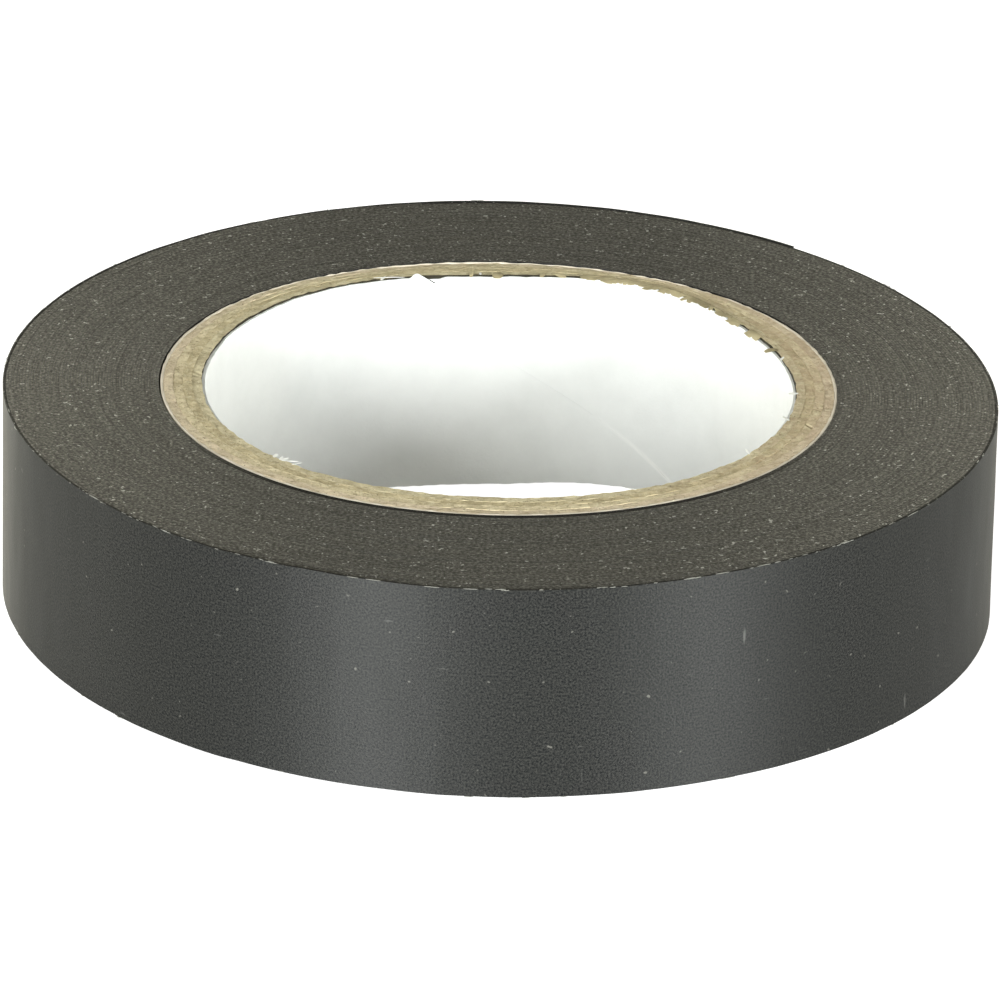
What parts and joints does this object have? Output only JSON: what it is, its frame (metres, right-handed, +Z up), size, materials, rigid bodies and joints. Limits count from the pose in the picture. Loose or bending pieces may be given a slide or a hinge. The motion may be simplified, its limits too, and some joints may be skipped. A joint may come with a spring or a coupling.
{
  "type": "electrical tape roll",
  "caption": "Roll of black PVC insulating tape wound on a laminated paper core with a white-lined bore; the tape's free end peels away from the roll.",
  "frame": {"origin": "on the roll's axis, at the flat side that it lies on", "axes": "+Z up along the roll's axis; +Y towards the back, where the tape's cut end is; +X to the right"},
  "size_m": [0.0677, 0.0679, 0.015],
  "materials": {
    "liner_paper": "smooth white paper",
    "chipboard": "grey-brown chipboard, fibrous where it is cut",
    "cover_paper": "pale kraft paper",
    "slit_tape": "dull, with fine rings where the tape was slit",
    "pvc_film": "satin calendered film",
    "adhesive": "tacky, slightly glossy coat"
  },
  "bodies": {
    "roll": {"core_liner": "liner_paper", "core_board_ply_1": "chipboard", "core_board_ply_2": "chipboard", "core_board_ply_3": "chipboard", "core_board_ply_4": "chipboard", "core_cover_ply": "cover_paper", "wound_tape": "slit_tape", "last_turn_adhesive": "adhesive", "last_turn_film": "pvc_film"},
    "free_end": {"free_end_adhesive": "adhesive", "free_end_film": "pvc_film"}
  },
  "joints": [
    {"name": "free_end_peel", "type": "hinge", "parent": "roll", "child": "free_end", "pos_m": [0, 0.03398, 0], "axis": [0, 0, 1], "range_deg": [0, 150]}
  ]
}
